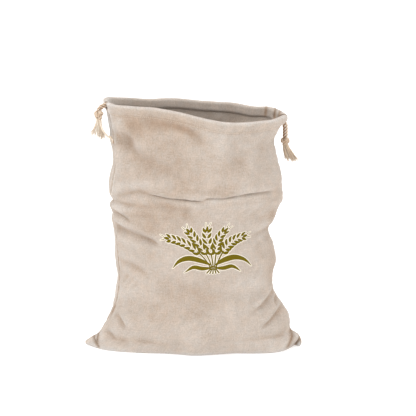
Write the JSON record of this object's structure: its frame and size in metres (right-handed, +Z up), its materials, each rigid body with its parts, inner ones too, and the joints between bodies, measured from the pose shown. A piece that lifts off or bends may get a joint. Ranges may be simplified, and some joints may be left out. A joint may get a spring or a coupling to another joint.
{
  "type": "linen drawstring bread bag",
  "caption": "Open, upright linen bread bag with two drawcords in its hemmed mouth, knotted at both sides and ending in tassels.",
  "frame": {"origin": "middle of the bag's footprint, on the surface it stands on", "axes": "+X to the bag's right as seen from its front, -Y to the front, +Z up"},
  "size_m": [0.307, 0.1418, 0.3582],
  "materials": {
    "linen": "undyed plain weave, matt, with slubs",
    "cotton": "undyed twisted cord, matt"
  },
  "bodies": {
    "root": {"cloth_front": "linen", "cloth_back": "linen", "drawcord_left": "cotton", "drawcord_right": "cotton", "tassel_left": "cotton", "tassel_right": "cotton"}
  },
  "joints": []
}
